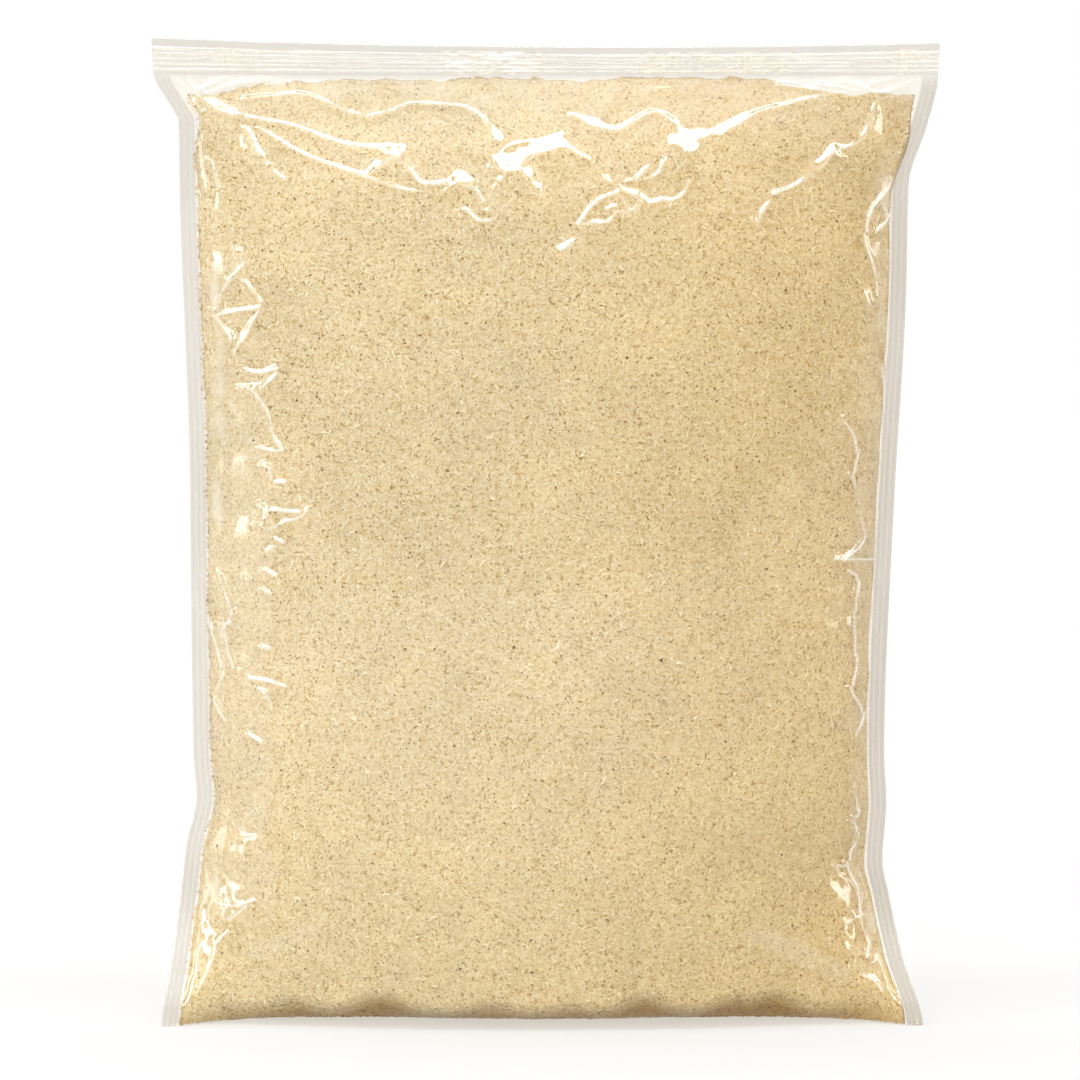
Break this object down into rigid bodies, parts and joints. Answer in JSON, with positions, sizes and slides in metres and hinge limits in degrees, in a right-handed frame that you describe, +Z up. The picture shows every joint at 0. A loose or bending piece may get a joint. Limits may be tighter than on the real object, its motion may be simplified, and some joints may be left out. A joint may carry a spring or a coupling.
{
  "type": "bag of almond flour",
  "caption": "Clear film bag filled with pale almond flour, flat side seals and a ribbed seal across the top, standing on its base.",
  "frame": {"origin": "middle of the base, on the surface that the bag stands on", "axes": "+Z up through the top seal, X along the width between the side seals, -Y towards the front"},
  "size_m": [0.215, 0.0598, 0.2695],
  "materials": {
    "clear_film": "clear, glossy, thin",
    "almond_flour": "matte, fine light flakes with scattered brown skin specks"
  },
  "bodies": {
    "root": {"bag": "clear_film"}
  },
  "joints": []
}
